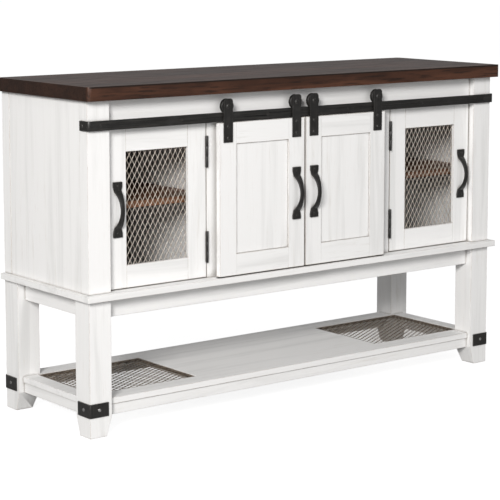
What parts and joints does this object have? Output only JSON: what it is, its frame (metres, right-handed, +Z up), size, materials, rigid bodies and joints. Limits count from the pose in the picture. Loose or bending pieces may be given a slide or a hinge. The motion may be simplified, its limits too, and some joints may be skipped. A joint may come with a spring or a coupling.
{
  "type": "sideboard buffet",
  "caption": "Farmhouse sideboard: plank top, sliding barn doors on a flat rail, hinged mesh doors, open base with lower shelf.",
  "frame": {"origin": "centre of the bounding box in plan, on the floor", "axes": "+X along the cabinet to the right as seen from the front, -Y out of the doors, +Z up"},
  "size_m": [1.524, 0.491, 0.953],
  "materials": {
    "painted_wood": "distressed white paint, matt",
    "walnut_top": "dark brown stain, satin",
    "brown_shelf": "brown stain, matt",
    "dark_board": "dark hardboard, matt",
    "black_iron": "black powder coat, slightly rough",
    "pewter_mesh": "aged pewter, satin",
    "glide": "moulded"
  },
  "bodies": {
    "cabinet": {"top_panel": "walnut_top", "front_left_leg": "painted_wood", "front_right_leg": "painted_wood", "back_left_leg": "painted_wood", "back_right_leg": "painted_wood", "front_posts": "painted_wood", "back_posts": "painted_wood", "left_side_panel": "painted_wood", "right_side_panel": "painted_wood", "back_panel": "dark_board", "dividers": "painted_wood", "cabinet_floor": "painted_wood", "waist_molding": "painted_wood", "fascia_rail": "painted_wood", "centre_stiles": "painted_wood", "top_cleats": "painted_wood", "shelf_pins": "black_iron", "front_apron": "painted_wood", "back_apron": "painted_wood", "side_aprons": "painted_wood", "lower_front_rail": "painted_wood", "lower_back_rail": "painted_wood", "lower_side_rails": "painted_wood", "lower_shelf_board": "painted_wood", "lower_shelf_meshes": "pewter_mesh", "mesh_cleats": "black_iron", "corner_brackets": "black_iron", "bracket_screws": "black_iron", "foot_glides": "glide", "barn_rail": "black_iron", "rail_fixings": "black_iron", "door_guide_pins": "black_iron", "door_catches": "black_iron", "cabinet_hinge_leaves": "black_iron"},
    "left_barn_door": {"left_barn_door_frame": "painted_wood", "left_barn_door_panel": "painted_wood", "left_barn_door_handle": "black_iron", "left_hanger_straps": "black_iron", "left_hanger_bolts": "black_iron"},
    "right_barn_door": {"right_barn_door_frame": "painted_wood", "right_barn_door_panel": "painted_wood", "right_barn_door_handle": "black_iron", "right_hanger_straps": "black_iron", "right_hanger_bolts": "black_iron"},
    "left_mesh_door": {"left_mesh_door_frame": "painted_wood", "left_door_mesh": "pewter_mesh", "left_mesh_door_handle": "black_iron", "left_door_hinge_leaves": "black_iron"},
    "right_mesh_door": {"right_mesh_door_frame": "painted_wood", "right_door_mesh": "pewter_mesh", "right_mesh_door_handle": "black_iron", "right_door_hinge_leaves": "black_iron"},
    "left_outer_wheel": {"left_outer_wheel": "black_iron"},
    "left_inner_wheel": {"left_inner_wheel": "black_iron"},
    "right_inner_wheel": {"right_inner_wheel": "black_iron"},
    "right_outer_wheel": {"right_outer_wheel": "black_iron"},
    "left_shelf": {"left_inner_shelf": "brown_shelf"},
    "centre_shelf": {"centre_inner_shelf": "brown_shelf"},
    "right_shelf": {"right_inner_shelf": "brown_shelf"}
  },
  "joints": [
    {"name": "left_mesh_door_hinge", "type": "hinge", "parent": "cabinet", "child": "left_mesh_door", "pos_m": [-0.3445, -0.1856, 0.618], "axis": [0, 0, 1], "range_deg": [0, 100]},
    {"name": "right_mesh_door_hinge", "type": "hinge", "parent": "cabinet", "child": "right_mesh_door", "pos_m": [0.3445, -0.1856, 0.618], "axis": [0, 0, -1], "range_deg": [0, 100]},
    {"name": "left_barn_door_slide", "type": "slide", "parent": "cabinet", "child": "left_barn_door", "axis": [1, 0, 0], "range_m": [-0.288, 0]},
    {"name": "right_barn_door_slide", "type": "slide", "parent": "cabinet", "child": "right_barn_door", "axis": [-1, 0, 0], "range_m": [-0.288, 0]},
    {"name": "left_shelf_lift", "type": "slide", "parent": "cabinet", "child": "left_shelf", "axis": [0, 0, 1], "range_m": [0, 0.06]},
    {"name": "centre_shelf_lift", "type": "slide", "parent": "cabinet", "child": "centre_shelf", "axis": [0, 0, 1], "range_m": [0, 0.06]},
    {"name": "right_shelf_lift", "type": "slide", "parent": "cabinet", "child": "right_shelf", "axis": [0, 0, 1], "range_m": [0, 0.06]},
    {"name": "left_outer_wheel_spin", "type": "hinge", "parent": "left_barn_door", "child": "left_outer_wheel", "pos_m": [-0.29425, -0.21, 0.8783], "axis": [0, 1, 0], "range_deg": [-1003, 5]},
    {"name": "left_inner_wheel_spin", "type": "hinge", "parent": "left_barn_door", "child": "left_inner_wheel", "pos_m": [-0.04825, -0.21, 0.8783], "axis": [0, 1, 0], "range_deg": [-1003, 5]},
    {"name": "right_inner_wheel_spin", "type": "hinge", "parent": "right_barn_door", "child": "right_inner_wheel", "pos_m": [0.01625, -0.21, 0.8783], "axis": [0, -1, 0], "range_deg": [-1003, 5]},
    {"name": "right_outer_wheel_spin", "type": "hinge", "parent": "right_barn_door", "child": "right_outer_wheel", "pos_m": [0.26225, -0.21, 0.8783], "axis": [0, -1, 0], "range_deg": [-1003, 5]}
  ],
  "couplings": [
    {"joint": "left_outer_wheel_spin", "follows": "left_barn_door_slide", "rad_per_m": 60.606},
    {"joint": "left_inner_wheel_spin", "follows": "left_barn_door_slide", "rad_per_m": 60.606},
    {"joint": "right_inner_wheel_spin", "follows": "right_barn_door_slide", "rad_per_m": 60.606},
    {"joint": "right_outer_wheel_spin", "follows": "right_barn_door_slide", "rad_per_m": 60.606}
  ]
}
